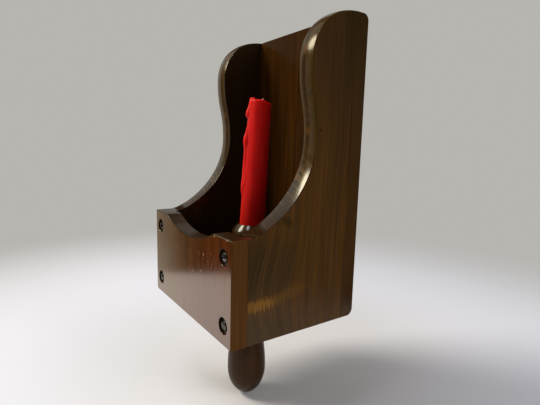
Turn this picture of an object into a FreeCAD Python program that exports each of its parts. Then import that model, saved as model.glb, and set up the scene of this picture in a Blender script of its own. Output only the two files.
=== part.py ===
import FreeCAD
import Part
import math
import os

# A wooden wall sconce: a back board, two wing-shaped sides, a scooped front panel and a shelf make a
# box that carries a turned candle cup, with a turned drop below it. Sizes are in millimetres.
# X runs to the right, the front faces -Y and the wall is the plane Y = 0.
# Heights are measured from the bottom edge of the box. The finished pieces are lowered so that the
# origin lies in the middle of the rear face.

# Overall sizes
overall_width = 140.0
overall_depth = 114.0
back_height = 234.0
front_height = 75.0

# Boards
back_thickness = 12.5
front_thickness = 12.5
side_thickness = 15.0
shelf_thickness = 12.5
shelf_underside = 22.0
dado_depth = 4.0
dado_clearance = 0.1

# Outline of the wings, seen from the side. The pulls are shares of the curve's own fall or reach.
crown_flat = 15.0
crown_radius = 38.0
waist_height = 141.0
waist_depth = 46.8
neck_pull = 0.5
sweep_upper_pull = 0.6
sweep_lower_pull = 0.25
crown_round = 3.0
sweep_round = 0.8

# Scoop in the top edge of the front panel
scoop_width = 87.0
scoop_drop = 10.0

# Rounded edges of the flat boards
back_round = 4.5
back_end_round = 2.0
panel_round = 1.0

# Screws that hold the front panel and the back board to the sides
screw_wall = 4.0
screw_diameter = 4.0
screw_length = 32.0
screw_point = 6.0
screw_head_diameter = 6.5
screw_head_height = 2.4
screw_head_rim = 1.2
screw_slot_width = 1.0
screw_slot_depth = 1.0
screw_recess = 1.0
counterbore_clearance = 2.6
hole_clearance = 0.1
front_screw_below_shelf = 8.0
front_screw_below_top = 13.0
back_screw_below_shelf = 10.0
back_screw_below_top = 22.0
front_slot_turns = {"upper_left": 70.0, "upper_right": 15.0, "lower_left": 40.0, "lower_right": 100.0}
back_slot_turns = (25.0, 80.0, 130.0)

# Turned candle cup
cup_foot_radius = 14.0
cup_foot_height = 3.5
cup_neck_radius = 11.0
cup_neck_height = 9.3
cup_bulge = 3.8
cup_rim_wall = 0.9
cup_floor = 4.5
socket_depth = 18.0
socket_slack = 0.8

# Turned drop below the shelf
drop_length = 109.0
drop_radius = 17.2
drop_tip_height = 23.5
drop_neck_radius = 7.0
drop_neck_height = 12.0
drop_collar_radius = 13.0
drop_collar_height = 5.0
drop_upper_pull = 0.5
drop_neck_pull = 0.3

# Double-ended screw through the shelf, a little behind the middle of the well. The cup stands further
# back than the screw and the drop further forward, because their holes are off their own centres.
dowel_diameter = 6.0
dowel_point = 4.0
dowel_in_drop = 22.0
dowel_set_back = 1.0
cup_off_centre = 1.5
drop_off_centre = 1.4

# Candle and wick
candle_radius = 10.9
candle_top_radius = 9.5
candle_above_rim = 103.0
candle_lean = 3.2
candle_gap = 0.3
candle_top_round = 2.5
candle_top_land = 2.0
candle_dish_depth = 1.5
wick_radius = 0.8
wick_above_dish = 4.0
wick_clearance = 0.05

# Hanger plate let into the back board
keyhole_below_top = 44.0
keyhole_radius = 4.75
keyhole_slot_width = 5.0
keyhole_slot_rise = 12.0
keyhole_pocket_depth = 6.0
keyhole_pocket_margin = 1.0
plate_width = 18.0
plate_thickness = 1.5
plate_set_back = 0.2
plate_clearance = 0.2
plate_screw_gap = 6.75
plate_screw_margin = 5.5
plate_screw_diameter = 3.0
plate_screw_head_diameter = 5.6
plate_screw_length = 9.0
plate_screw_point = 2.5

# Planes of the box
half_width = overall_width / 2
inner_half_width = half_width - side_thickness
back_face = -back_thickness
panel_front = -overall_depth
panel_back = panel_front + front_thickness
dowel_axis = (back_face + panel_back) / 2 + dowel_set_back
cup_axis = dowel_axis + cup_off_centre
drop_axis = dowel_axis - drop_off_centre
shelf_top = shelf_underside + shelf_thickness
origin_height = back_height / 2

# Levels of the cup, from its foot up to its rim
socket_radius = candle_radius + socket_slack
cup_rim_radius = socket_radius + cup_rim_wall
cup_ball_radius = cup_rim_radius + cup_bulge
foot_top = shelf_top + cup_foot_height
neck_top = foot_top + cup_neck_height
ball_centre = neck_top + math.sqrt(cup_ball_radius ** 2 - cup_neck_radius ** 2)
rim_height = ball_centre + math.sqrt(cup_ball_radius ** 2 - cup_rim_radius ** 2)
socket_floor = rim_height - socket_depth
dowel_top = socket_floor - cup_floor
dowel_bottom = shelf_underside - dowel_in_drop

# The candle leans back until it is one gap away from the socket's wall at the rim
lean = math.radians(candle_lean)
candle_shift = socket_slack - candle_gap
butt_drift = abs(candle_shift - socket_depth * math.tan(lean))
butt_radius = min(candle_radius, socket_radius - candle_gap - butt_drift)
butt_level = butt_radius * math.tan(lean) - (socket_depth - candle_gap) / math.cos(lean)

# Screw places shared by the screws and their holes
screw_place = inner_half_width + screw_wall
screw_hole_radius = screw_diameter / 2 + hole_clearance
counterbore_radius = screw_head_diameter / 2 + counterbore_clearance
head_seat = screw_recess + screw_head_height
front_screw_heights = (shelf_underside - front_screw_below_shelf, front_height - front_screw_below_top)
back_screw_low = shelf_underside - back_screw_below_shelf
back_screw_high = back_height - back_screw_below_top
back_screw_heights = (back_screw_low, (back_screw_low + back_screw_high) / 2, back_screw_high)
dowel_hole_radius = dowel_diameter / 2 + hole_clearance

# Keyhole and plate places
keyhole_height = back_height - keyhole_below_top
slot_top = keyhole_height + keyhole_slot_rise
plate_screw_reach = keyhole_radius + plate_screw_gap
plate_screw_heights = (keyhole_height - plate_screw_reach, slot_top + plate_screw_reach)
plate_low = plate_screw_heights[0] - plate_screw_margin
plate_high = plate_screw_heights[1] + plate_screw_margin
plate_rear = -plate_set_back
plate_front = plate_rear - plate_thickness

# Cutting tools run this far past a face. Points closer than near are the same point.
past = 1.0
near = 1e-6
circle_pull = 0.5523

axis_x = FreeCAD.Vector(1, 0, 0)
axis_y = FreeCAD.Vector(0, 1, 0)
axis_z = FreeCAD.Vector(0, 0, 1)


def box(low, high):
    corner = FreeCAD.Vector(*low)
    size = FreeCAD.Vector(*high) - corner
    return Part.makeBox(size.x, size.y, size.z, corner)


def rod(radius, length, start, axis):
    return Part.makeCylinder(radius, length, FreeCAD.Vector(*start), axis)


def cone(radius, end_radius, length, start, axis):
    return Part.makeCone(radius, end_radius, length, FreeCAD.Vector(*start), axis)


def line(start, end):
    return Part.LineSegment(start, end).toShape()


def arc(start, middle, end):
    return Part.Arc(start, middle, end).toShape()


def curve(*poles):
    bezier = Part.BezierCurve()
    bezier.setPoles(list(poles))
    return bezier.toShape()


def joined(solids):
    return solids[0].fuse(solids[1:]).removeSplitter().Solids[0]


# A turned piece is an outline of (radius, height) points spun about the Z axis

def at(radius, height):
    return FreeCAD.Vector(radius, 0, height)


def turned(edges):
    face = Part.Face(Part.Wire(edges))
    return face.revolve(FreeCAD.Vector(0, 0, 0), axis_z, 360)


def edges_where(solid, wanted):
    return [edge for edge in solid.Edges if wanted([vertex.Point for vertex in edge.Vertexes])]


def same(first, second):
    return abs(first - second) < near


# Wing-shaped sides

def wing_outline(x):
    def place(y, z):
        return FreeCAD.Vector(x, y, z)

    crown_level = back_height - crown_radius
    crown_front = -crown_flat - crown_radius
    eighth = math.radians(45)
    crown_middle = place(-crown_flat - crown_radius * math.sin(eighth),
                         crown_level + crown_radius * math.cos(eighth))
    neck_fall = (crown_level - waist_height) * neck_pull
    sweep_fall = (waist_height - front_height) * sweep_upper_pull
    sweep_reach = (-waist_depth - panel_back) * sweep_lower_pull
    return Part.Wire([
        line(place(back_face, 0), place(back_face, back_height)),
        line(place(back_face, back_height), place(-crown_flat, back_height)),
        arc(place(-crown_flat, back_height), crown_middle, place(crown_front, crown_level)),
        curve(place(crown_front, crown_level), place(crown_front, crown_level - neck_fall),
              place(-waist_depth, waist_height + neck_fall), place(-waist_depth, waist_height)),
        curve(place(-waist_depth, waist_height), place(-waist_depth, waist_height - sweep_fall),
              place(panel_back + sweep_reach, front_height), place(panel_back, front_height)),
        line(place(panel_back, front_height), place(panel_back, 0)),
        line(place(panel_back, 0), place(back_face, 0)),
    ])


# The round-over is full from the crown down to the waist and fades out along the sweep
def rounding_at(point):
    return crown_round if point.z > waist_height - near else sweep_round


def round_wing(solid):
    document = FreeCAD.newDocument("wing")
    plain = document.addObject("Part::Feature", "plain")
    plain.Shape = solid
    rounded = document.addObject("Part::Fillet", "rounded")
    rounded.Base = plain
    roundings = []
    for number, edge in enumerate(plain.Shape.Edges, 1):
        first = edge.valueAt(edge.FirstParameter)
        last = edge.valueAt(edge.LastParameter)
        on_a_face = same(first.x, last.x)
        above_front = min(first.z, last.z) > front_height - near
        if on_a_face and above_front:
            roundings.append((number, rounding_at(first), rounding_at(last)))
    rounded.Edges = roundings
    document.recompute()
    result = rounded.Shape.Solids[0].copy()
    FreeCAD.closeDocument("wing")
    return result


def make_side(sign):
    left_face = inner_half_width if sign > 0 else -half_width
    side = Part.Face(wing_outline(left_face)).extrude(axis_x * side_thickness)
    side = round_wing(side)
    dado_span = sorted((sign * (inner_half_width - past),
                        sign * (inner_half_width + dado_depth + dado_clearance)))
    side = side.cut(box((dado_span[0], panel_back - past, shelf_underside),
                        (dado_span[1], back_face + past, shelf_top)))
    hole_end = screw_length + head_seat + hole_clearance
    for height in front_screw_heights:
        start = (sign * screw_place, panel_front, height)
        side = side.cut(rod(screw_hole_radius, hole_end, start, axis_y))
    for height in back_screw_heights:
        start = (sign * screw_place, 0, height)
        side = side.cut(rod(screw_hole_radius, hole_end, start, -axis_y))
    return side


# Flat boards

def counterbored(board, thickness, face, into):
    x, y, height = face
    start = (x, y - into.y * past, height)
    board = board.cut(rod(counterbore_radius, head_seat + past, start, into))
    return board.cut(rod(screw_hole_radius, thickness + 2 * past, start, into))


def make_back_board():
    board = box((-half_width, back_face, 0), (half_width, 0, back_height))
    board = board.makeFillet(back_round, edges_where(
        board, lambda ends: all(same(end.y, 0) for end in ends) and same(ends[0].z, ends[1].z)))
    board = board.makeFillet(back_end_round, edges_where(
        board, lambda ends: all(same(abs(end.x), half_width) for end in ends)
        and same(ends[0].x, ends[1].x) and not all(same(end.y, back_face) for end in ends)))
    for sign in (-1, 1):
        for height in back_screw_heights:
            board = counterbored(board, back_thickness, (sign * screw_place, 0, height), -axis_y)
    recess_half = plate_width / 2 + plate_clearance
    board = board.cut(box((-recess_half, plate_front, plate_low - plate_clearance),
                          (recess_half, past, plate_high + plate_clearance)))
    pocket_half = keyhole_radius + keyhole_pocket_margin
    pocket_floor = plate_front - keyhole_pocket_depth
    board = board.cut(box((-pocket_half, pocket_floor, keyhole_height), (pocket_half, past, slot_top)))
    for height in (keyhole_height, slot_top):
        board = board.cut(rod(pocket_half, past - pocket_floor, (0, past, height), -axis_y))
    for height in plate_screw_heights:
        hole_radius = plate_screw_diameter / 2 + hole_clearance
        hole_length = past - plate_rear + plate_screw_length + hole_clearance
        board = board.cut(rod(hole_radius, hole_length, (0, past, height), -axis_y))
    return board


def make_front_panel():
    def place(x, z):
        return FreeCAD.Vector(x, panel_front, z)

    half_scoop = scoop_width / 2
    panel = Part.Face(Part.Wire([
        line(place(-half_width, 0), place(-half_width, front_height)),
        line(place(-half_width, front_height), place(-half_scoop, front_height)),
        arc(place(-half_scoop, front_height), place(0, front_height - scoop_drop),
            place(half_scoop, front_height)),
        line(place(half_scoop, front_height), place(half_width, front_height)),
        line(place(half_width, front_height), place(half_width, 0)),
        line(place(half_width, 0), place(-half_width, 0)),
    ])).extrude(axis_y * front_thickness)
    panel = panel.makeFillet(panel_round, edges_where(
        panel, lambda ends: all(same(end.y, panel_front) for end in ends)))
    for sign in (-1, 1):
        for height in front_screw_heights:
            panel = counterbored(panel, front_thickness, (sign * screw_place, panel_front, height), axis_y)
    return panel


def make_shelf():
    shelf_end = inner_half_width + dado_depth
    shelf = box((-shelf_end, panel_back, shelf_underside), (shelf_end, back_face, shelf_top))
    hole_start = (0, dowel_axis, shelf_underside - past)
    return shelf.cut(rod(dowel_hole_radius, shelf_thickness + 2 * past, hole_start, axis_z))


# Turned pieces in the well, each moved to its own axis

def to_axis(solid, axis_depth):
    solid.translate(FreeCAD.Vector(0, axis_depth, 0))
    return solid


def make_cup():
    bead = cup_foot_height / 2
    bead_centre = cup_foot_radius - bead
    cup = turned([
        line(at(0, shelf_top), at(bead_centre, shelf_top)),
        arc(at(bead_centre, shelf_top), at(cup_foot_radius, shelf_top + bead), at(bead_centre, foot_top)),
        curve(at(bead_centre, foot_top), at(cup_neck_radius, foot_top), at(cup_neck_radius, neck_top)),
        arc(at(cup_neck_radius, neck_top), at(cup_ball_radius, ball_centre), at(cup_rim_radius, rim_height)),
        line(at(cup_rim_radius, rim_height), at(socket_radius, rim_height)),
        line(at(socket_radius, rim_height), at(socket_radius, socket_floor)),
        line(at(socket_radius, socket_floor), at(0, socket_floor)),
        line(at(0, socket_floor), at(0, shelf_top)),
    ])
    hole_length = dowel_top - shelf_top + hole_clearance + past
    hole_start = (0, -cup_off_centre, shelf_top - past)
    return to_axis(cup.cut(rod(dowel_hole_radius, hole_length, hole_start, axis_z)), cup_axis)


def make_drop():
    tip = shelf_underside - drop_length
    widest = tip + drop_tip_height
    collar_low = shelf_underside - drop_collar_height
    neck = collar_low - drop_neck_height
    taper = neck - widest
    bead = drop_collar_height / 2
    bead_centre = drop_collar_radius - bead
    drop = turned([
        curve(at(0, tip), at(drop_radius * circle_pull, tip),
              at(drop_radius, widest - drop_tip_height * circle_pull), at(drop_radius, widest)),
        curve(at(drop_radius, widest), at(drop_radius, widest + taper * drop_upper_pull),
              at(drop_neck_radius, neck - taper * drop_neck_pull), at(drop_neck_radius, neck)),
        curve(at(drop_neck_radius, neck), at(drop_neck_radius, collar_low), at(bead_centre, collar_low)),
        arc(at(bead_centre, collar_low), at(drop_collar_radius, shelf_underside - bead),
            at(bead_centre, shelf_underside)),
        line(at(bead_centre, shelf_underside), at(0, shelf_underside)),
        line(at(0, shelf_underside), at(0, tip)),
    ])
    hole_length = dowel_in_drop + hole_clearance + past
    hole_start = (0, drop_off_centre, shelf_underside + past)
    return to_axis(drop.cut(rod(dowel_hole_radius, hole_length, hole_start, -axis_z)), drop_axis)


def make_dowel_screw():
    radius = dowel_diameter / 2
    upper_point = dowel_top - dowel_point
    lower_point = dowel_bottom + dowel_point
    screw = joined([
        rod(radius, upper_point - lower_point, (0, 0, lower_point), axis_z),
        cone(radius, 0, dowel_point, (0, 0, upper_point), axis_z),
        cone(radius, 0, dowel_point, (0, 0, lower_point), -axis_z),
    ])
    return to_axis(screw, dowel_axis)


# Round-headed slotted screws, drawn with the head's top at the origin and the point along -Z

def make_screw(slot_turn):
    head_radius = screw_head_diameter / 2
    shank_radius = screw_diameter / 2
    seat = -screw_head_height
    head_edge = seat + screw_head_rim
    point_start = seat - screw_length + screw_point
    screw = turned([
        curve(at(0, 0), at(head_radius * circle_pull, 0), at(head_radius, head_edge * (1 - circle_pull)),
              at(head_radius, head_edge)),
        line(at(head_radius, head_edge), at(head_radius, seat)),
        line(at(head_radius, seat), at(shank_radius, seat)),
        line(at(shank_radius, seat), at(shank_radius, point_start)),
        line(at(shank_radius, point_start), at(0, point_start - screw_point)),
        line(at(0, point_start - screw_point), at(0, 0)),
    ])
    slot = box((-head_radius - past, -screw_slot_width / 2, -screw_slot_depth),
               (head_radius + past, screw_slot_width / 2, past))
    slot.rotate(FreeCAD.Vector(0, 0, 0), axis_z, slot_turn)
    return screw.cut(slot)


def place_screw(screw, head_place, head_axis):
    turn = FreeCAD.Rotation(axis_z, head_axis)
    screw.Placement = FreeCAD.Placement(FreeCAD.Vector(*head_place), turn)
    return screw


# Hanger plate and its flat-headed screws. Extra widens a screw into the hole that takes it.

def plate_screw(height, extra=0.0):
    shank_radius = plate_screw_diameter / 2 + extra
    head_radius = plate_screw_head_diameter / 2 + extra
    head_height = (plate_screw_head_diameter - plate_screw_diameter) / 2
    shank_start = plate_rear - head_height
    point_start = plate_rear - plate_screw_length + plate_screw_point
    return joined([
        cone(head_radius, shank_radius, head_height, (0, plate_rear, height), -axis_y),
        rod(shank_radius, shank_start - point_start, (0, shank_start, height), -axis_y),
        cone(shank_radius, 0, plate_screw_point, (0, point_start, height), -axis_y),
    ])


def make_plate():
    plate = box((-plate_width / 2, plate_front, plate_low), (plate_width / 2, plate_rear, plate_high))
    slot_half = keyhole_slot_width / 2
    through = plate_thickness + 2 * past
    plate = plate.cut(rod(keyhole_radius, through, (0, plate_rear + past, keyhole_height), -axis_y))
    plate = plate.cut(rod(slot_half, through, (0, plate_rear + past, slot_top), -axis_y))
    plate = plate.cut(box((-slot_half, plate_front - past, keyhole_height),
                          (slot_half, plate_rear + past, slot_top)))
    for height in plate_screw_heights:
        plate = plate.cut(plate_screw(height, hole_clearance))
    return plate


# Candle and wick, drawn about the Z axis with the cup's rim at Z = 0, then leaned back in the cup

def lean_candle(solid):
    solid.rotate(FreeCAD.Vector(0, 0, 0), axis_x, -candle_lean)
    solid.translate(FreeCAD.Vector(0, cup_axis + candle_shift, rim_height))
    return solid


def make_candle():
    hole = wick_radius + wick_clearance
    top = candle_above_rim
    shoulder = top - candle_top_round
    taper = (candle_radius - candle_top_radius) / candle_above_rim
    shoulder_radius = candle_top_radius + taper * candle_top_round
    land = shoulder_radius - candle_top_round
    dish_radius = land - candle_top_land
    dish_floor = top - candle_dish_depth
    return lean_candle(turned([
        line(at(hole, butt_level), at(butt_radius, butt_level)),
        line(at(butt_radius, butt_level), at(candle_radius, 0)),
        line(at(candle_radius, 0), at(shoulder_radius, shoulder)),
        curve(at(shoulder_radius, shoulder), at(shoulder_radius, top), at(land, top)),
        line(at(land, top), at(dish_radius, top)),
        curve(at(dish_radius, top), at(dish_radius, dish_floor), at(hole, dish_floor)),
        line(at(hole, dish_floor), at(hole, butt_level)),
    ]))


def make_wick():
    wick_top = candle_above_rim - candle_dish_depth + wick_above_dish
    return lean_candle(rod(wick_radius, wick_top - butt_level, (0, 0, butt_level), axis_z))


pieces = {
    "back_board": make_back_board(),
    "left_side": make_side(-1),
    "right_side": make_side(1),
    "front_panel": make_front_panel(),
    "bottom_shelf": make_shelf(),
    "candle_cup": make_cup(),
    "drop_finial": make_drop(),
    "dowel_screw": make_dowel_screw(),
    "keyhole_plate": make_plate(),
    "plate_screw_lower": plate_screw(plate_screw_heights[0]),
    "plate_screw_upper": plate_screw(plate_screw_heights[1]),
    "candle": make_candle(),
    "candle_wick": make_wick(),
}
for side_name, sign in (("left", -1), ("right", 1)):
    for level, height in zip(("lower", "upper"), front_screw_heights):
        corner = level + "_" + side_name
        head_place = (sign * screw_place, panel_front + screw_recess, height)
        screw = make_screw(front_slot_turns[corner])
        pieces["front_screw_" + corner] = place_screw(screw, head_place, -axis_y)
    for number, height in enumerate(back_screw_heights):
        head_place = (sign * screw_place, -screw_recess, height)
        screw = make_screw(back_slot_turns[number])
        pieces["back_screw_" + side_name + "_" + str(number + 1)] = place_screw(screw, head_place, axis_y)

os.makedirs("parts", exist_ok=True)
for name, piece in pieces.items():
    piece.translate(FreeCAD.Vector(0, 0, -origin_height))
    piece.exportStep("parts/" + name + ".step")
    print(name, "solids", len(piece.Solids), "valid", piece.isValid(), "volume", round(piece.Volume, 1))
print("rim height", round(rim_height, 2))
print("butt radius", round(butt_radius, 2), "butt level", round(butt_level, 2))
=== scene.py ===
import math

import bmesh
import bpy
from mathutils import Matrix, Vector


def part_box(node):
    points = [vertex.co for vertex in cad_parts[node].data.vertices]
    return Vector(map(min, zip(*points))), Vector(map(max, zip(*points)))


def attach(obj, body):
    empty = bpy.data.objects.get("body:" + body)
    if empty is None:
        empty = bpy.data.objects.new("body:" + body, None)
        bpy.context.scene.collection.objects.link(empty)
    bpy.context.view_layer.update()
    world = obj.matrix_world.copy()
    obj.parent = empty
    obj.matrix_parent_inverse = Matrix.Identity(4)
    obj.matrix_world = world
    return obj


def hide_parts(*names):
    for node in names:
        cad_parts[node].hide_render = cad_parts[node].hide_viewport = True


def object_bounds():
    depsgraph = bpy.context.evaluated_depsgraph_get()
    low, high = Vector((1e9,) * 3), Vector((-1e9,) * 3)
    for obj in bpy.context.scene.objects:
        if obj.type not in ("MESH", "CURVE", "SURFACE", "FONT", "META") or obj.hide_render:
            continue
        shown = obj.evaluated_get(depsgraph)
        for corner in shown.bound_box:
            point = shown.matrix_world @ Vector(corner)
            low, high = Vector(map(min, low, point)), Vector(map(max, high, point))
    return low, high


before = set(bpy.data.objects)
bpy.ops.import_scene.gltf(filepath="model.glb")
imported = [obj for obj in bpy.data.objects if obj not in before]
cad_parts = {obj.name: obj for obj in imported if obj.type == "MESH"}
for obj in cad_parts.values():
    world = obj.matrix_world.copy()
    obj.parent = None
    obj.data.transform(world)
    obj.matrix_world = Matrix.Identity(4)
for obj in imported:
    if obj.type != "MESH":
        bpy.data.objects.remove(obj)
cadLow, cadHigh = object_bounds()
print("frame loaded,", len(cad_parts), "nodes")

mm = 0.001
circlePull = 0.5523   # handle length of a quarter circle, as a share of its radius
weldGap = 1e-6   # points nearer than this are welded
levelGap = 1e-5   # places nearer than this count as level
sharpAngle = 50   # corners sharper than this get an arris
flatFace = 0.99   # a board's broad faces point along its thickness at least this much

backLow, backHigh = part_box("back_board")
panelLow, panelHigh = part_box("front_panel")
shelfLow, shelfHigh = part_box("bottom_shelf")
frontScrews = ["front_screw_" + level + "_" + hand
               for level in ("upper", "lower") for hand in ("left", "right")]


def nodeMiddle(node):
    low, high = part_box(node)
    return (low + high) / 2


# selecting and editing

def letGo():
    if bpy.context.mode != "OBJECT":
        bpy.ops.object.mode_set(mode="OBJECT")
    bpy.ops.object.select_all(action="DESELECT")


def grab(piece):
    letGo()
    piece.select_set(True)
    bpy.context.view_layer.objects.active = piece


def remove(piece):
    grab(piece)
    bpy.ops.object.delete()


def work(piece):
    grab(piece)
    bpy.ops.object.mode_set(mode="EDIT")
    bpy.ops.mesh.select_all(action="SELECT")


def pick(piece, kind, wanted):
    bpy.ops.mesh.select_mode(type=kind)
    bpy.ops.mesh.select_all(action="DESELECT")
    mesh = bmesh.from_edit_mesh(piece.data)
    for part in {"EDGE": mesh.edges, "FACE": mesh.faces}[kind]:
        if wanted(part):
            part.select_set(True)
    mesh.select_flush_mode()
    bmesh.update_edit_mesh(piece.data)


def closeUp():
    bpy.ops.mesh.select_all(action="SELECT")
    bpy.ops.mesh.remove_doubles(threshold=weldGap)
    bpy.ops.mesh.normals_make_consistent(inside=False)
    letGo()


def named(name):
    piece = bpy.context.object
    piece.name = name
    piece.data.name = name
    return piece


def settle(piece):
    grab(piece)
    bpy.ops.object.transform_apply(location=True, rotation=True, scale=True)
    return piece


def finishWith(piece, kind, **settings):
    grab(piece)
    modifier = piece.modifiers.new(kind.lower(), kind)
    for key, value in settings.items():
        setattr(modifier, key, value)
    bpy.ops.object.modifier_apply(modifier=modifier.name)


def carve(piece, cutter, operation="DIFFERENCE"):
    finishWith(piece, "BOOLEAN", object=cutter, operation=operation, solver="EXACT")
    remove(cutter)


def soften(piece, crease=32):
    grab(piece)
    bpy.ops.object.shade_smooth_by_angle(angle=math.radians(crease))
    finishWith(piece, "WEIGHTED_NORMAL", keep_sharp=True)


def breakArrises(piece, width, segments):
    finishWith(piece, "BEVEL", limit_method="ANGLE", angle_limit=math.radians(sharpAngle), width=width,
               segments=segments)


def block(low, high):
    letGo()
    low, high = Vector(low), Vector(high)
    bpy.ops.mesh.primitive_cube_add(size=1, location=(low + high) / 2, scale=high - low)
    return settle(named("block"))


def rod(radius, start, end):
    letGo()
    start, end = Vector(start), Vector(end)
    run = end - start
    bpy.ops.mesh.primitive_cylinder_add(
        vertices=48, radius=radius, depth=run.length, location=(start + end) / 2,
        rotation=run.to_track_quat("Z", "Y").to_euler())
    return settle(named("rod"))


def newCurve(name, knotCount):
    letGo()
    bpy.ops.curve.primitive_bezier_curve_add(location=(0, 0, 0))
    curve = named(name)
    curve.data.dimensions = "3D"
    spline = curve.data.splines[0]
    spline.bezier_points.add(knotCount - len(spline.bezier_points))
    return curve, spline


def toMesh(curve):
    grab(curve)
    bpy.ops.object.convert(target="MESH")
    return bpy.context.object


# an outline's knot is its place and two handles, or None beside a straight run; lift stands it in the room
def draw(name, knots, lift, closed, steps):
    outline, spline = newCurve(name, len(knots))
    outline.data.resolution_u = steps
    spline.use_cyclic_u = closed
    for point, knot in zip(spline.bezier_points, knots):
        place, before, after = (spot and lift(*spot) for spot in knot)
        point.co = place
        point.handle_left_type = "FREE" if before else "VECTOR"
        point.handle_right_type = "FREE" if after else "VECTOR"
        point.handle_left = before or place
        point.handle_right = after or place
    return toMesh(outline)


# a tube along a smooth line, with its thickness in mm at each place
def pullTube(name, places, thicknesses):
    tube, spline = newCurve(name, len(places))
    tube.data.bevel_depth = mm
    tube.data.bevel_resolution = 6
    tube.data.use_fill_caps = True
    for knot, place, thickness in zip(spline.bezier_points, places, thicknesses):
        knot.co = place
        knot.radius = thickness
        knot.handle_left_type = "AUTO"
        knot.handle_right_type = "AUTO"
    return toMesh(tube)


# half an outline, as (radius, height), turned round an upright axis at this y
def turn(name, knots, y, curveSteps, steps=96):
    outline = draw(name, knots, lambda radius, height: (radius, y, height), False, curveSteps)
    work(outline)
    bpy.ops.mesh.spin(steps=steps, angle=2 * math.pi, center=(0, y, 0), axis=(0, 0, 1))
    closeUp()
    return outline


def roundEdges(piece, widest, roundingOf):
    work(piece)
    mesh = bmesh.from_edit_mesh(piece.data)
    layer = mesh.edges.layers.float.new("bevel_weight_edge")
    for edge in mesh.edges:
        edge[layer] = roundingOf(edge.verts[0].co, edge.verts[1].co) / widest
    bmesh.update_edit_mesh(piece.data)
    letGo()
    finishWith(piece, "BEVEL", limit_method="WEIGHT", width=widest, segments=4, use_clamp_overlap=False)


def alike(first, second):
    return abs(first - second) < levelGap


# shader maths: a wire is one output socket, and sums on wires add Math nodes

class Wire:
    def __init__(self, paint, socket):
        self.paint = paint
        self.socket = socket

    def other(self, output):
        return Wire(self.paint, self.socket.node.outputs[output])

    def maths(self, operation, first, second):
        return self.paint.node("Math", {"operation": operation}, {0: first, 1: second})

    def __add__(self, value):
        return self.maths("ADD", self, value)

    def __radd__(self, value):
        return self.maths("ADD", value, self)

    def __sub__(self, value):
        return self.maths("SUBTRACT", self, value)

    def __rsub__(self, value):
        return self.maths("SUBTRACT", value, self)

    def __mul__(self, value):
        return self.maths("MULTIPLY", self, value)

    def __rmul__(self, value):
        return self.maths("MULTIPLY", value, self)

    def __truediv__(self, value):
        return self.maths("DIVIDE", self, value)

    def __pow__(self, value):
        return self.maths("POWER", self, value)


class Paint:
    def __init__(self, owner):
        self.owner = owner
        owner.use_nodes = True
        self.tree = owner.node_tree
        self.tree.nodes.clear()

    def node(self, kind, settings=None, sockets=None, output=0):
        made = self.tree.nodes.new("ShaderNode" + kind)
        for key, value in (settings or {}).items():
            setattr(made, key, value)
        for key, value in (sockets or {}).items():
            if isinstance(value, Wire):
                self.tree.links.new(value.socket, made.inputs[key])
            else:
                made.inputs[key].default_value = value
        return Wire(self, made.outputs[output]) if made.outputs else None

    def edge(self):
        return self.node("Attribute", {"attribute_name": "edge"}, output="Fac")

    def axes(self, vector):
        across = self.node("SeparateXYZ", {}, {"Vector": vector})
        return across, across.other("Y"), across.other("Z")

    def xyz(self, x=0.0, y=0.0, z=0.0):
        return self.node("CombineXYZ", {}, {"X": x, "Y": y, "Z": z})

    def noise(self, vector, scale=(1, 1, 1), detail=3.0, roughness=0.5, shift=(0, 0, 0)):
        place = self.node("Mapping", {}, {"Vector": vector, "Scale": scale, "Location": shift})
        sockets = {"Vector": place, "Scale": 1.0, "Detail": detail, "Roughness": roughness}
        return self.node("TexNoise", {}, sockets)

    # rises smoothly from 0 at the start to most at the end
    def fade(self, value, start, end, most=1.0):
        return self.node("MapRange", {"interpolation_type": "SMOOTHSTEP"},
                         {"Value": value, "From Min": start, "From Max": end, "To Max": most})

    def ramp(self, value, *stops):
        made = self.node("ValToRGB", {}, {"Fac": value})
        elements = made.socket.node.color_ramp.elements
        while len(elements) < len(stops):
            elements.new(1.0)
        for element, (place, colour) in zip(elements, stops):
            element.position = place
            element.color = (*colour, 1.0)
        return made

    def mix(self, factor, first, second):
        def colour(value):
            return value if isinstance(value, Wire) else (*value, 1.0)
        return self.node("Mix", {"data_type": "RGBA"},
                         {0: factor, 6: colour(first), 7: colour(second)}, output=2)

    # a soft oval mark on two of the object's axes, strongest in its middle
    def mark(self, first, second, centre, size, slope=0.0, most=1.0):
        along = (first - centre[0]) / size[0]
        beside = (second - centre[1] - (first - centre[0]) * slope) / size[1]
        return self.fade(along * along + beside * beside, 1.0, 0.0, most)

    # an upright or level line of this half width
    def stripe(self, value, centre, half):
        return self.fade((value - centre) * (value - centre), half * half, 0.0)

    def scaled(self, colour, factor):
        return self.node("VectorMath", {"operation": "SCALE"}, {0: colour, "Scale": factor})

    def bump(self, height, strength, distance):
        return self.node("Bump", {}, {"Height": height, "Strength": strength, "Distance": distance})

    def shader(self, **sockets):
        names = {key.replace("_", " "): value for key, value in sockets.items()}
        return self.node("BsdfPrincipled", {}, names)

    def blend(self, factor, first, second):
        return self.node("MixShader", {}, {0: factor, 1: first, 2: second})

    def finish(self, shader):
        self.node("OutputMaterial", {}, {"Surface": shader})
        return self.owner


def newPaint(name):
    paint = Paint(bpy.data.materials.new(name))
    return paint, paint.node("TexCoord", output="Object")


# stained boards: the grain stands upright, and each board's shift takes it from another part of the tree

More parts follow.
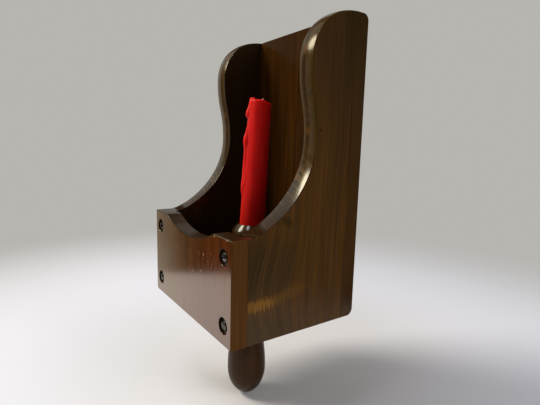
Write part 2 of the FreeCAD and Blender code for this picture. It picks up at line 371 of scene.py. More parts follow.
sideLook = dict(
    bands=280, fine=900, streaks=1.7, shift=(3.1, 1.7, 0.4), sway=0.008, slant=0.5,
    olive=(0.041, 0.0203, 0.0060), amber=(0.057, 0.0236, 0.0046),
    roughness=0.25, ior=1.36, tint=(1.0, 0.76, 0.50), relief=0.12, edgeCoat=1.0)
backLook = dict(
    bands=80, fine=620, streaks=2.0, shift=(1.2, 8.4, 2.6), sway=0.012, slant=0.0,
    olive=(0.0205, 0.0068, 0.0008), amber=(0.031, 0.0106, 0.0011),
    roughness=0.20, ior=1.40, tint=(1.0, 0.76, 0.54), relief=0.06, edgeCoat=0.05)
frontLook = dict(
    bands=210, fine=330, streaks=2.6, shift=(7.3, 2.9, 5.2), sway=0.006, slant=0.0,
    olive=(0.056, 0.0150, 0.0018), amber=(0.073, 0.0168, 0.0016),
    roughness=0.14, ior=2.5, tint=(1.0, 0.87, 0.73), relief=0.05, edgeCoat=0.1)
satinLook = dict(frontLook, roughness=0.34, ior=1.14, edgeCoat=0.4)
grainLook = dict(drift=(14, 0, 7), thin=0.08, grit=0.55, pores=(1900, 70), poreDark=0.25)
# a dark tone for grime, also used as painted shade inside the front panel's counterbores
grimeAndShade = (0.010, 0.0065, 0.0035)
rust = (0.024, 0.0085, 0.0045)


def boardGrain(paint, look, across, through, along):
    drift = paint.noise(paint.xyz(across, through, along), grainLook["drift"], 2.0) - 0.5
    spot = paint.xyz(across + through * look["slant"] + drift * look["sway"], through, along)

    def grain(width, length, detail=2.0):
        return paint.noise(spot, (width, width * grainLook["thin"], length), detail, grainLook["grit"],
                           look["shift"])

    bands = paint.fade(grain(look["bands"], length=5), 0.30, 0.70)
    streaks = grain(look["fine"], length=13, detail=3.0)
    pores = paint.fade(grain(*grainLook["pores"]), 0.60, 0.72)
    stain = paint.mix(bands, look["olive"], look["amber"])
    colour = paint.scaled(stain, 1 + (streaks - 0.5) * look["streaks"] - pores * grainLook["poreDark"])
    return colour, streaks, pores


# the amber varnish warms what it mirrors, and has a clearer coat on the boards' edges
def varnish(paint, look, colour, streaks, pores, edgeCoat=1.0, polish=0.0):
    return paint.shader(
        Base_Color=colour,
        Roughness=look["roughness"] + (streaks - 0.5) * 0.1 - polish,
        IOR=look["ior"],
        Specular_Tint=(*look["tint"], 1),
        Coat_Weight=paint.edge() * look["edgeCoat"] * edgeCoat,
        Coat_Roughness=0.15,
        Coat_Tint=(1.0, 0.95, 0.78, 1),
        Normal=paint.bump(streaks - pores * 0.5, look["relief"], 0.1 * mm),
    )


# the sides' edges are darker than their faces: amber at the neck, grey with pale growth lines on the sweep
edgeTones = dict(
    share=0.9, neck=(0.038, 0.0200, 0.0034), amber=(0.070, 0.0265, 0.0022),
    worn=(0.021, 0.0094, 0.0021), wornLine=(0.0606, 0.0028), wornDull=0.9,
    sweep=(0.0090, 0.0066, 0.0042), sweepFade=(0.020, -0.010), sweepCoat=0.68,
    line=(0.064, 0.036, 0.015), lineHalf=0.030,
    toe=(0.0170, 0.0062, 0.0018), toeFade=(-0.058, -0.088), toeShare=0.8, toePolish=0.13)


def edgeStain(paint, colour, streaks, x, y, z, neckCoat):
    rings = paint.noise(paint.xyz(y * 190 + x * 60, z * 60), detail=1.0)
    sweep = paint.mix(paint.stripe(rings, 0.5, edgeTones["lineHalf"]), edgeTones["sweep"], edgeTones["line"])
    toe = paint.fade(y, *edgeTones["toeFade"])
    low = paint.fade(z, *edgeTones["sweepFade"])
    flecks = paint.fade(paint.noise(paint.xyz(z=z * 90 + x * 12), detail=2.0), 0.48, 0.66)
    worn = paint.stripe((x * x) ** 0.5, *edgeTones["wornLine"]) * (1 - low)
    neck = paint.mix(worn, edgeTones["neck"], paint.mix(flecks, edgeTones["worn"], edgeTones["amber"]))
    tone = paint.mix(low, neck, paint.mix(toe * edgeTones["toeShare"], sweep, edgeTones["toe"]))
    coat = (low * (edgeTones["sweepCoat"] - neckCoat) + neckCoat) * (1 - toe)
    stained = paint.mix(paint.edge() * edgeTones["share"], colour, paint.scaled(tone, 0.5 + streaks))
    return stained, coat * (1 - worn * edgeTones["wornDull"]), toe * paint.edge() * edgeTones["toePolish"]


# the left side's inner face is painted nearly black: painted shade, where the wings keep the light off it
leftSide = dict(inside=(-0.0570, -0.0554, 0.75), tone=(0.0060, 0.0046, 0.0023), neckCoat=0.5)


def paintSide():
    paint, place = newPaint("sideVarnish")
    x, y, z = paint.axes(place)
    colour, streaks, pores = boardGrain(paint, sideLook, y, x, z)
    colour, coat, polish = edgeStain(paint, colour, streaks, x, y, z, leftSide["neckCoat"])
    # painted shade over the inner face
    inside = paint.fade(x, *leftSide["inside"])
    colour = paint.mix(inside, colour, paint.scaled(leftSide["tone"], 0.5 + streaks))
    return paint.finish(varnish(paint, sideLook, colour, streaks, pores, coat, polish))


# the right side's grain leans away from a golden wisp near its lower front, with darker wood above and below;
# a mark is its middle and half size on y and z, its slope and its strength
wisp = dict(
    middle=-0.0885, lean=0.011, reach=(-0.035, -0.075), rise=(0.004, 0.060), soft=0.00002,
    glow=((-0.0935, -0.0893), (0.019, 0.0055), 0.05), gold=(0.142, 0.065, 0.0070),
    tail=((-0.0720, -0.0865), (0.028, 0.0060), 0.2, 0.28), teeth=(0, 700, 10), ragged=0.014,
    above=((-0.088, -0.064), (0.036, 0.028)), below=((-0.088, -0.110), (0.036, 0.016)),
    shade=(0.030, 0.0180, 0.0066))
# painted shade darkens it towards the crown and the rear; it also has a smudge, a pin hole and a grimy seam
# at the back board
rightSide = dict(
    crown=(0.012, 0.008, 0.004), crownShadeRise=(-0.01, 0.115), crownShadeShare=0.50, neckCoat=0.22,
    smudge=((-0.0705, -0.0325), (0.0075, 0.0050), -0.5, 0.45),
    pin=((-0.0430, 0.0307), (0.0021, 0.0008), 0.1))


def paintRightSide():
    paint, place = newPaint("rightVarnish")
    x, y, z = paint.axes(place)
    outside = paint.fade(x, 0.060, 0.068)
    rise = z - wisp["middle"]
    lean = paint.fade((rise * rise + wisp["soft"]) ** 0.5, *wisp["rise"]) * paint.fade(y, *wisp["reach"])
    colour, streaks, pores = boardGrain(paint, sideLook, y - lean * outside * wisp["lean"], x, z)
    shade = (paint.mark(y, z, *wisp["above"]) + paint.mark(y, z, *wisp["below"])) * outside
    shadeTone = paint.scaled(wisp["shade"], 0.35 + streaks * 1.3)
    colour = paint.mix(shade * (1.25 - streaks * 1.1), colour, shadeTone)
    teeth = paint.noise(place, wisp["teeth"], 2.0)
    ragged = z + (teeth - 0.5) * wisp["ragged"]
    gold = paint.mark(y, ragged, *wisp["glow"]) + paint.mark(y, ragged, *wisp["tail"])
    colour = paint.mix(gold * outside * (teeth * 2.2 - 0.3), colour, wisp["gold"])
    # painted shade towards the crown, deeper towards the rear, and lower down along the rear
    crown = paint.fade(y, -0.045, -0.013, most=0.25) + rightSide["crownShadeShare"]
    colour = paint.mix(paint.fade(z, *rightSide["crownShadeRise"]) * crown, colour, rightSide["crown"])
    rear = paint.fade(y, -0.058, -0.012, most=0.26) * paint.fade(z, -0.050, 0.015)
    colour = paint.mix(rear * paint.fade(z, 0.115, 0.060), colour, rightSide["crown"])
    spots = paint.mark(y, z, *rightSide["smudge"]) + paint.mark(y, z, *rightSide["pin"])
    seam = paint.fade(y, -0.0140, -0.0127) * (0.12 + paint.stripe(z, 0.020, 0.045) * 0.6)
    colour = paint.mix((spots + seam) * outside, colour, grimeAndShade)
    colour, coat, polish = edgeStain(paint, colour, streaks, x, y, z, rightSide["neckCoat"])
    return paint.finish(varnish(paint, sideLook, colour, streaks, pores, coat, polish))


# the back board's right end shows beside the right side, with a red mark low down, and takes the side's
# painted shade towards the crown
backEnd = dict(
    share=0.8, mark=((-0.004, -0.098), (0.014, 0.010), 0.0, 0.5), red=(0.030, 0.0085, 0.004),
    crownShadeShare=0.5)


def paintBack():
    paint, place = newPaint("backVarnish")
    x, y, z = paint.axes(place)
    colour, streaks, pores = boardGrain(paint, backLook, x, y, z)
    end = paint.fade(x, 0.0680, 0.0695)
    colour = paint.mix(end * backEnd["share"], colour, paint.scaled(sideLook["olive"], 0.7 + streaks * 0.5))
    colour = paint.mix(end * paint.mark(y, z, *backEnd["mark"]), colour, backEnd["red"])
    # the same painted shade towards the crown as on the right side
    crown = end * paint.fade(z, *rightSide["crownShadeRise"]) * backEnd["crownShadeShare"]
    colour = paint.mix(crown, colour, rightSide["crown"])
    return paint.finish(varnish(paint, backLook, colour, streaks, pores))


# the front panel's face has the thickest varnish; nicks are (x, z, half width, half height) in mm
nicks = [(28.8, -60.4, 0.9, 1.4), (24.8, -73.5, 1.1, 1.5), (9.2, -78.2, 1.5, 0.8), (45.5, -43.4, 1.6, 0.8),
         (63.5, -42.6, 1.3, 0.8), (-21.0, -66.0, 0.8, 0.7)]
wear = dict(
    left=(0.045, -0.080, 0.9), leftTone=(0.100, 0.0600, 0.0190), edgeShare=0.9,
    edgeTone=(0.0135, 0.0072, 0.0026), endTone=(0.062, 0.0255, 0.0055), bare=(0.30, 0.225, 0.15),
    nickDepth=(0.0018, 0.0008, 0.7), arrisFall=(0.0008, 0.0002, 0.22), arrisDepth=(0.0010, 0.0003),
    dust=(0.36, 0.25, 0.15), dustMark=((0.022, -0.068), (0.055, 0.022)), dustSize=(0.17, 0.06, 0.45),
    shine=(0.030, -0.030), boreDepth=(0.0004, 0.0022), boreShadeRise=(-0.0052, -0.0030, 0.7),
    boreShadeLeast=0.25, pitDepth=0.8, dullStreaks=(0.52, 0.75, 0.14))


def paintFront():
    paint, place = newPaint("frontVarnish")
    x, y, z = paint.axes(place)
    inward = y - panelLow.y
    colour, streaks, pores = boardGrain(paint, frontLook, x, y, z)
    # painted reflection: a paler tone over the panel's left part
    colour = paint.mix(paint.fade(x, *wear["left"]), colour, paint.scaled(wear["leftTone"], 0.5 + streaks))
    edge = paint.mix(paint.fade(panelHigh.x - x, 0.0012, 0.0004), wear["edgeTone"], wear["endTone"])
    endGrain = paint.noise(place, (0, 800, 14))
    colour = paint.mix(paint.edge() * wear["edgeShare"], colour, paint.scaled(edge, 0.35 + endGrain * 1.3))
    arris = paint.fade(panelHigh.z - z, *wear["arrisFall"]) * paint.fade(inward, *wear["arrisDepth"])
    colour = paint.mix(arris * paint.fade(x, 0.043, 0.047), colour, wear["bare"])
    nearFace = paint.fade(inward, *wear["nickDepth"])
    for nick in nicks:
        nickX, nickZ, halfWidth, halfHeight = (measure * mm for measure in nick)
        chip = paint.mark(x, z, (nickX, nickZ), (halfWidth, halfHeight), slope=0.3)
        colour = paint.mix(chip * nearFace, colour, wear["bare"])
    spread = {"Vector": paint.xyz(x, z), "Scale": 300.0}
    cells = paint.node("TexVoronoi", {"voronoi_dimensions": "2D"}, spread)
    dust = paint.fade(cells, *wear["dustSize"]) * paint.fade(cells.other("Color"), 0.58, 0.70)
    dust = dust * (1 - paint.edge()) * paint.mark(x, z, *wear["dustMark"])
    colour = paint.mix(dust, colour, wear["dust"])
    shine = paint.fade(x, *wear["shine"])
    # the counterbores are darkened with dirt and painted shade, least on their lit lower walls
    for node in frontScrews[0], frontScrews[2]:
        screw = nodeMiddle(node)
        bored = paint.mark((x * x) ** 0.5, z, (abs(screw.x), screw.z), size=(0.012, 0.012))
        bored = paint.fade(bored, 0.3, 0.4)
        shaded = paint.fade(z - screw.z, *wear["boreShadeRise"]) + wear["boreShadeLeast"]
        colour = paint.mix(bored * shaded * paint.fade(inward, *wear["boreDepth"]), colour, grimeAndShade)
        shine = shine + bored
    pits = paint.noise(place, (450, 450, 450), 2.0) * wear["pitDepth"]
    gloss = (1 - paint.edge()) * (1 - paint.fade(streaks, *wear["dullStreaks"]))
    return paint.finish(paint.blend(gloss, varnish(paint, satinLook, colour, streaks, pores, shine),
                                    varnish(paint, frontLook, colour, streaks, pores + pits)))


rightFinish = paintRightSide()
sideFinish = paintSide()
backFinish = paintBack()
frontFinish = paintFront()
print("board finishes mixed")


# turned wood
cupLook = dict(
    tones=((0.010, 0.0042, 0.0015), (0.022, 0.0099, 0.0034), (0.038, 0.0190, 0.0070)),
    coat=0.62, gloss=0.12)
dropLook = dict(
    tones=((0.013, 0.0050, 0.0014), (0.026, 0.0096, 0.0026), (0.042, 0.0165, 0.0048)),
    coat=0.06, gloss=0.22)


def paintTurning(name, look):
    paint, place = newPaint(name)
    streaks = paint.noise(place, (380, 380, 28), 4.0, 0.6)
    lathe = paint.noise(place, (30, 30, 2200), 2.0)
    return paint.finish(paint.shader(
        Base_Color=paint.ramp(streaks, *zip((0.28, 0.55, 0.8), look["tones"])),
        Roughness=0.34 + streaks * 0.1,
        Specular_IOR_Level=look["gloss"],
        Specular_Tint=(1.0, 0.74, 0.48, 1),
        Coat_Weight=look["coat"] + (streaks - 0.5) * 0.1,
        Coat_Roughness=0.12,
        Coat_Tint=(1.0, 0.92, 0.76, 1),
        Normal=paint.bump(lathe + streaks * 0.5, 0.12, 0.1 * mm),
    ))


cupFinish = paintTurning("cupVarnish", cupLook)
dropFinish = paintTurning("dropVarnish", dropLook)


# tarnished steel, with rust in the screws' slots
screwLook = dict(bright=(0.15, 0.139, 0.118), dull=(0.05, 0.038, 0.027), roughness=0.12)
hangerLook = dict(bright=(0.60, 0.60, 0.58), dull=(0.42, 0.42, 0.41), roughness=0.26)


def paintSteel(name, look):
    paint, place = newPaint(name)
    tarnish = paint.noise(place, (420, 420, 420), 4.0, 0.6)
    brushed = paint.noise(place, (3000, 240, 3000), 3.0, 0.6)
    steel = paint.ramp(tarnish, (0.35, look["dull"]), (0.65, look["bright"]))
    return paint.finish(paint.shader(
        Base_Color=paint.mix(paint.edge(), steel, rust),
        Roughness=look["roughness"] + tarnish * 0.2 + paint.edge() * 0.3,
        Metallic=0.75 + tarnish * 0.25,
        Normal=paint.bump(brushed, 0.15, 0.05 * mm),
    ))


screwFinish = paintSteel("screwSteel", screwLook)
hangerFinish = paintSteel("hangerZinc", hangerLook)


candle = dict(
    radius=10.9 * mm, topRadius=9.5 * mm, height=103.0 * mm, butt=-17.1 * mm,
    buttRadius=10.7 * mm, topRound=1.5 * mm, dish=1.5 * mm, dishRim=2.0 * mm,
    dishEase=3.5 * mm, dishFloor=2.0 * mm, slopeStart=1.0 * mm, slopeBearing=55,
    slope=16, lean=3.2, rim=Vector((0, -54.0 * mm, -47.04 * mm)), voxel=0.4 * mm, smoothing=5)
waxLook = dict(dark=(0.42, 0.0050, 0.0040), light=(0.52, 0.0085, 0.0054), footShadeTone=0.72, footHeight=35.0 * mm)


# the candle's sides are a little flattened by hand, which shows as soft upright lights
def paintWax():
    paint, place = newPaint("redWax")
    x, y, z = paint.axes(place)
    rim, leaning = candle["rim"], math.tan(math.radians(candle["lean"]))
    bearing = paint.node("Math", {"operation": "ARCTAN2"},
                         {0: y - rim.y - (z - rim.z) * leaning, 1: x})
    flats = paint.noise(paint.xyz(bearing, z=z), (2.6, 0, 6), 1.0)
    clouds = paint.noise(place, (90, 90, 40))
    grain = paint.noise(place, (900, 900, 500))
    colour = paint.ramp(clouds, (0.3, waxLook["dark"]), (0.7, waxLook["light"]))
    # painted shade: the wax darkens towards its foot, low in the sconce's well
    foot = paint.fade(z, rim.z, rim.z + waxLook["footHeight"], 1 - waxLook["footShadeTone"]) + waxLook["footShadeTone"]
    return paint.finish(paint.shader(
        Base_Color=paint.scaled(colour, foot),
        Roughness=0.40 + clouds * 0.12,
        Specular_IOR_Level=0.16,
        Subsurface_Weight=0.8,
        Subsurface_Radius=(0.008, 0.0008, 0.0007),
        Subsurface_Scale=1.0,
        Normal=paint.bump(flats + grain * 0.04, 0.35, 1.2 * mm),
    ))


cottonLook = dict(dark=(0.40, 0.22, 0.14), light=(0.80, 0.62, 0.48))


def paintWick():
    paint, place = newPaint("waxedCotton")
    twist = paint.node("TexWave", {"bands_direction": "DIAGONAL"},
                       {"Vector": place, "Scale": 420.0, "Distortion": 1.5, "Detail": 2.0})
    fuzz = paint.noise(place, (1500, 1500, 1500))
    strands = fuzz * 0.6 + twist * 0.4
    return paint.finish(paint.shader(
        Base_Color=paint.ramp(strands, (0.3, cottonLook["dark"]), (0.7, cottonLook["light"])),
        Roughness=0.75 + fuzz * 0.2,
        Normal=paint.bump(twist, 0.4, 0.2 * mm),
    ))


waxFinish = paintWax()
wickFinish = paintWick()
print("turned wood, metal and wax finishes mixed")


# the edge attribute is 1 on a board's narrow faces and arrises and in a screw's slot, and 0 elsewhere
def markFaces(piece, wanted):
    edge = piece.data.attributes.new("edge", "FLOAT", "FACE")
    for face in piece.data.polygons:
        edge.data[face.index].value = float(wanted(face))


# every piece takes a finish, rides on a body and stands for its node
def dress(piece, finish, node, body="sconce_body"):
    piece.data.materials.clear()
    piece.data.materials.append(finish)
    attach(piece, body)
    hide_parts(node)


# the axis is the one through the board's thickness
def finishBoard(board, axis, finish, node):
    soften(board)
    markFaces(board, lambda face: abs(face.normal[axis]) < flatFace)
    dress(board, finish, node)


# wing-shaped sides

wing = dict(
    crownFlat=15.0 * mm, crownRadius=38.0 * mm, waist=(-46.8 * mm, 24.0 * mm), neckPull=0.5,
    sweepUpperPull=0.6, sweepLowerPull=0.25, curveSteps=28, slices=8, crowning=0.8 * mm,
    flatEnd=9.0 * mm, arris=0.7 * mm, sharpArris=0.15 * mm)


def makeSide(name, node, finish):
    low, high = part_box(node)
    rear, front, top, toe, bottom = high.y, low.y, high.z, panelHigh.z, low.z
    crownLevel = top - wing["crownRadius"]
    crownEnd = -wing["crownFlat"]
    crownFront = crownEnd - wing["crownRadius"]
    waistY, waistZ = wing["waist"]
    bend = wing["crownRadius"] * circlePull
    neckFall = (crownLevel - waistZ) * wing["neckPull"]
    sweepFall = (waistZ - toe) * wing["sweepUpperPull"]
    sweepReach = (waistY - front) * wing["sweepLowerPull"]

    # how far up from the toe to the waist, where the edge is fully crowned
    def share(level):
        return min(max((level - toe) / (waistZ - toe), 0.0), 1.0) ** 0.5

    def crowned(place):
        nearBack = min((rear - place.y) / wing["flatEnd"], 1.0)
        return share(place.z) * nearBack * (2 * (place.x - low.x) / (high.x - low.x) - 1) ** 2

    def rounding(first, last):
        if not (alike(first.x, last.x) and (alike(first.x, low.x) or alike(first.x, high.x))):
            return 0.0
        return wing["sharpArris"] + share(min(first.z, last.z)) * (wing["arris"] - wing["sharpArris"])

    side = draw(name, [
        ((rear, bottom), None, None),
        ((rear, top), None, None),
        ((crownEnd, top), None, (crownEnd - bend, top)),
        ((crownFront, crownLevel), (crownFront, crownLevel + bend),
         (crownFront, crownLevel - neckFall)),
        ((waistY, waistZ), (waistY, waistZ + neckFall), (waistY, waistZ - sweepFall)),
        ((front, toe), (front + sweepReach, toe), None),
        ((front, bottom), None, None),
    ], lambda y, z: (low.x, y, z), True, wing["curveSteps"])
    work(side)
    bpy.ops.mesh.remove_doubles(threshold=weldGap)
    sliceWidth = (high.x - low.x) / wing["slices"]
    for step in range(wing["slices"]):
        bpy.ops.mesh.extrude_edges_move(TRANSFORM_OT_translate={"value": (sliceWidth, 0, 0)})
    closeUp()
    crown = side.vertex_groups.new(name="crown")
    for vertex in side.data.vertices:
        crown.add([vertex.index], crowned(vertex.co), "REPLACE")
    finishWith(side, "DISPLACE", vertex_group="crown", mid_level=0.0, strength=-wing["crowning"])
    work(side)
    for face in (low.x, high.x):
        pick(side, "EDGE", lambda edge: all(alike(vertex.co.x, face) for vertex in edge.verts))
        bpy.ops.mesh.edge_face_add()
    closeUp()
    roundEdges(side, wing["arris"], rounding)
    carve(side, block((shelfLow.x, low.y - mm, shelfLow.z), (shelfHigh.x, high.y + mm, shelfHigh.z)))
    finishBoard(side, 0, finish, node)


makeSide("rightSide", "right_side", rightFinish)
makeSide("leftSide", "left_side", sideFinish)
print("sides cut")


# screw sizes shared by the boards and the screws

screwSizes = dict(
    headRadius=3.25 * mm, headHeight=2.4 * mm, rim=1.6 * mm, shank=2.0 * mm, length=32.0 * mm,
    point=6.0 * mm, slotWidth=1.0 * mm, slotDepth=1.0 * mm, slotSlack=0.02 * mm,
    arris=0.12 * mm, recess=1.0 * mm, proud=0.95 * mm, bore=5.85 * mm, flare=0.3 * mm)


# a counterbore with a flared mouth
def boreFor(board, node, outward):
    middle = nodeMiddle(node)
    face = panelLow.y if outward < 0 else backHigh.y
    depth = screwSizes["recess"] + screwSizes["headHeight"]
    bore, flare = screwSizes["bore"], screwSizes["flare"]
    letGo()
    bpy.ops.mesh.primitive_cone_add(
        vertices=48, radius1=bore, radius2=bore + 2 * flare, depth=2 * flare,
        location=(middle.x, face, middle.z),
        rotation=Vector((0, outward, 0)).to_track_quat("Z", "Y").to_euler())
    cutter = settle(named("bore"))
    work(cutter)
    pick(cutter, "FACE", lambda end: (end.calc_center_median().y - face) * outward < -flare / 2)
    bpy.ops.mesh.extrude_region_move(TRANSFORM_OT_translate={"value": (0, outward * (flare - depth), 0)})
    letGo()
    carve(board, cutter)


# scooped front panel

panel = dict(scoopWidth=87.0 * mm, scoopDrop=10.0 * mm, round=0.6 * mm, arris=0.15 * mm, curveSteps=20)


def panelRounding(first, last):
    if not alike(first.y, last.y):
        return 0.0
    return panel["round"] if alike(first.y, panelLow.y) else panel["arris"]


def makePanel():
    half = panel["scoopWidth"] / 2
    drop = panel["scoopDrop"]
    radius = (half * half + drop * drop) / (2 * drop)
    spread = math.asin(half / radius)
    pull = 4 / 3 * math.tan(spread / 4) * radius
    top = panelHigh.z
    easeX, easeZ = pull * math.cos(spread), pull * math.sin(spread)
    board = draw("frontPanel", [
        ((panelLow.x, panelLow.z), None, None),
        ((panelLow.x, top), None, None),
        ((-half, top), None, (-half + easeX, top - easeZ)),
        ((0, top - drop), (-pull, top - drop), (pull, top - drop)),
        ((half, top), (half - easeX, top - easeZ), None),
        ((panelHigh.x, top), None, None),
        ((panelHigh.x, panelLow.z), None, None),
    ], lambda x, z: (x, panelLow.y, z), True, panel["curveSteps"])
    work(board)
    bpy.ops.mesh.remove_doubles(threshold=weldGap)
    bpy.ops.mesh.edge_face_add()
    bpy.ops.mesh.extrude_region_move(TRANSFORM_OT_translate={"value": (0, panelHigh.y - panelLow.y, 0)})
    closeUp()
    roundEdges(board, panel["round"], panelRounding)
    for node in frontScrews:
        boreFor(board, node, -1)
    finishBoard(board, 1, frontFinish, "front_panel")


makePanel()
print("front panel cut")


# back board with its hanger recess

back = dict(
    round=5.5 * mm, topRound=5.0 * mm, arris=0.25 * mm, plateGap=0.2 * mm,
    pocketRadius=5.75 * mm, pocketDepth=7.7 * mm, keyhole=73.0 * mm, slotTop=85.0 * mm)
backScrews = ["back_screw_" + hand + "_" + str(number) for hand in ("left", "right") for number in (1, 2, 3)]


def makeBack():
    board = block(backLow, backHigh)
    board.name = "backBoard"
    board.data.name = "backBoard"
    work(board)
    for level, rounding in ((backHigh.z, back["topRound"]), (backLow.z, back["round"])):
        pick(board, "EDGE", lambda edge: all(
            alike(end.co.y, backHigh.y) and alike(end.co.z, level) for end in edge.verts))
        bpy.ops.mesh.bevel(offset=rounding, segments=8)
    letGo()
    breakArrises(board, back["arris"], segments=3)
    for node in backScrews:
        boreFor(board, node, 1)
    plateLow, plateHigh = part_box("keyhole_plate")
    gap = back["plateGap"]
    carve(board, block((plateLow.x - gap, plateLow.y, plateLow.z - gap),
                       (plateHigh.x + gap, mm, plateHigh.z + gap)))
    radius, deep = back["pocketRadius"], -back["pocketDepth"]
    pocket = block((-radius, deep, back["keyhole"]), (radius, mm, back["slotTop"]))
    for level in (back["keyhole"], back["slotTop"]):
        carve(pocket, rod(radius, (0, mm, level), (0, deep, level)), "UNION")
    carve(board, pocket)
    finishBoard(board, 1, backFinish, "back_board")


makeBack()
print("back board cut")


# slotted screws: one is turned and slotted, then copied into every hole

slotTurns = dict(zip(frontScrews + backScrews, (70, 15, 40, 100) + 2 * (25, 80, 130)))


def makeScrew():
    head, shank, seat = screwSizes["headRadius"], screwSizes["shank"], -screwSizes["headHeight"]
    edge = seat + screwSizes["rim"]
    tip = seat - screwSizes["length"]
    taper = tip + screwSizes["point"]

    screw = turn("screwPattern", [
        ((0, 0), None, (head * circlePull, 0)),
        ((head, edge), (head, edge * (1 - circlePull)), None),
        ((head, seat), None, None),
        ((shank, seat), None, None),
        ((shank, taper), None, None),
        ((0, tip), None, None),
    ], y=0, curveSteps=10, steps=40)
    half, deep, slack = screwSizes["slotWidth"] / 2, screwSizes["slotDepth"], screwSizes["slotSlack"]
    carve(screw, block((-head - mm, -half, -deep), (head + mm, half, mm)))
    breakArrises(screw, screwSizes["arris"], segments=2)
    soften(screw, crease=35)
    markFaces(screw, lambda face: abs(face.center.y) < half + slack and face.center.z > -deep - slack)
    return screw


def placeScrew(pattern, node, outward):
    words = node.split("_")
    grab(pattern)
    bpy.ops.object.duplicate(linked=False)
    screw = named(words[0] + "".join(word.title() for word in words[1:]))
    middle = nodeMiddle(node)
    low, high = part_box(node)
    headY = (low.y if outward < 0 else high.y) + outward * screwSizes["proud"]
    upright = Matrix.Rotation(math.radians(-90 * outward), 4, "X")
    screw.matrix_world = (Matrix.Translation((middle.x, headY, middle.z)) @ upright
                          @ Matrix.Rotation(math.radians(slotTurns[node]), 4, "Z"))
    settle(screw)
    dress(screw, screwFinish, node)


screwPattern = makeScrew()
for node in frontScrews:
    placeScrew(screwPattern, node, -1)
for node in backScrews:
    placeScrew(screwPattern, node, 1)
remove(screwPattern)
print("screws driven")


# turned candle cup and drop

turningCrease = 40
cupLow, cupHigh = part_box("candle_cup")
dropLow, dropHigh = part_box("drop_finial")
cupY = (cupLow.y + cupHigh.y) / 2
dropY = (dropLow.y + dropHigh.y) / 2

cup = dict(
    foot=14.0 * mm, footHeight=3.5 * mm, neck=11.0 * mm, neckHeight=9.3 * mm,
    ball=17.4 * mm, widestDrop=9.0 * mm, rim=12.2 * mm, rimDrop=0.8 * mm, socket=11.7 * mm,
    socketDepth=17.2 * mm, lip=0.2 * mm, shoulder=(2.4 * mm, -2.9 * mm),
    waistPull=(3.7 * mm, 3.3 * mm), ballPull=(3.0 * mm, 4.5 * mm), curveSteps=14)


def makeCup():
    foot, neck, ball = cup["foot"], cup["neck"], cup["ball"]
    rim, socket, lip = cup["rim"], cup["socket"], cup["lip"]
    base = cupLow.z
    bead = cup["footHeight"] / 2
    beadIn, bend = foot - bead, bead * circlePull
    footTop = base + cup["footHeight"]
    neckTop = footTop + cup["neckHeight"]
    rimTop = cupHigh.z - cup["rimDrop"]
    widest = rimTop - cup["widestDrop"]
    floor = rimTop - cup["socketDepth"]
    shoulderOut, shoulderFall = cup["shoulder"]
    waistOut, waistRise = cup["waistPull"]
    pullUp, pullDown = cup["ballPull"]

    profile = turn("candleCup", [
        ((0, base), None, None),
        ((beadIn, base), None, (beadIn + bend, base)),
        ((foot, base + bead), (foot, base + bead - bend), (foot, base + bead + bend)),
        ((beadIn, footTop), (beadIn + bend, footTop), ((beadIn + 2 * neck) / 3, footTop)),
        ((neck, neckTop), (neck, (neckTop + 2 * footTop) / 3), (neck + waistOut, neckTop + waistRise)),
        ((ball, widest), (ball, widest - pullDown), (ball, widest + pullUp)),
        ((rim, rimTop - lip), (rim + shoulderOut, rimTop + shoulderFall), None),
        ((rim - lip, rimTop), None, None),
        ((socket, rimTop), None, None),
        ((socket, floor), None, None),
        ((0, floor), None, None),
    ], cupY, cup["curveSteps"])
    soften(profile, turningCrease)
    dress(profile, cupFinish, "candle_cup")


drop = dict(
    radius=16.9 * mm, tipHeight=24.5 * mm, tipRaise=1.2 * mm, neck=7.0 * mm,
    neckHeight=12.0 * mm, collar=13.0 * mm, collarHeight=5.0 * mm, upperPull=0.5,
    neckPull=0.3, tipPull=0.56, flankPull=0.56, curveSteps=24)


def makeDrop():
    top, tip = dropHigh.z, dropLow.z + drop["tipRaise"]
    radius, neck, collar = drop["radius"], drop["neck"], drop["collar"]
    widest = tip + drop["tipHeight"]
    collarLow = top - drop["collarHeight"]
    neckLevel = collarLow - drop["neckHeight"]
    taper = neckLevel - widest
    bead = drop["collarHeight"] / 2
    beadIn, bend = collar - bead, bead * circlePull
    beadLevel = collarLow + bead

    profile = turn("dropFinial", [
        ((0, tip), None, (radius * drop["tipPull"], tip)),
        ((radius, widest), (radius, widest - drop["tipHeight"] * drop["flankPull"]),
         (radius, widest + taper * drop["upperPull"])),
        ((neck, neckLevel), (neck, neckLevel - taper * drop["neckPull"]),
         (neck, (neckLevel + 2 * collarLow) / 3)),
        ((beadIn, collarLow), ((beadIn + 2 * neck) / 3, collarLow), (beadIn + bend, collarLow)),
        ((collar, beadLevel), (collar, beadLevel - bend), (collar, beadLevel + bend)),
        ((beadIn, top), (beadIn + bend, top), None),
        ((0, top), None, None),
    ], dropY, drop["curveSteps"])
    soften(profile, turningCrease)
    dress(profile, dropFinish, "drop_finial")


makeCup()
makeDrop()
print("cup and drop turned")


# candle, drawn upright from the cup's rim and then leaned back in the cup

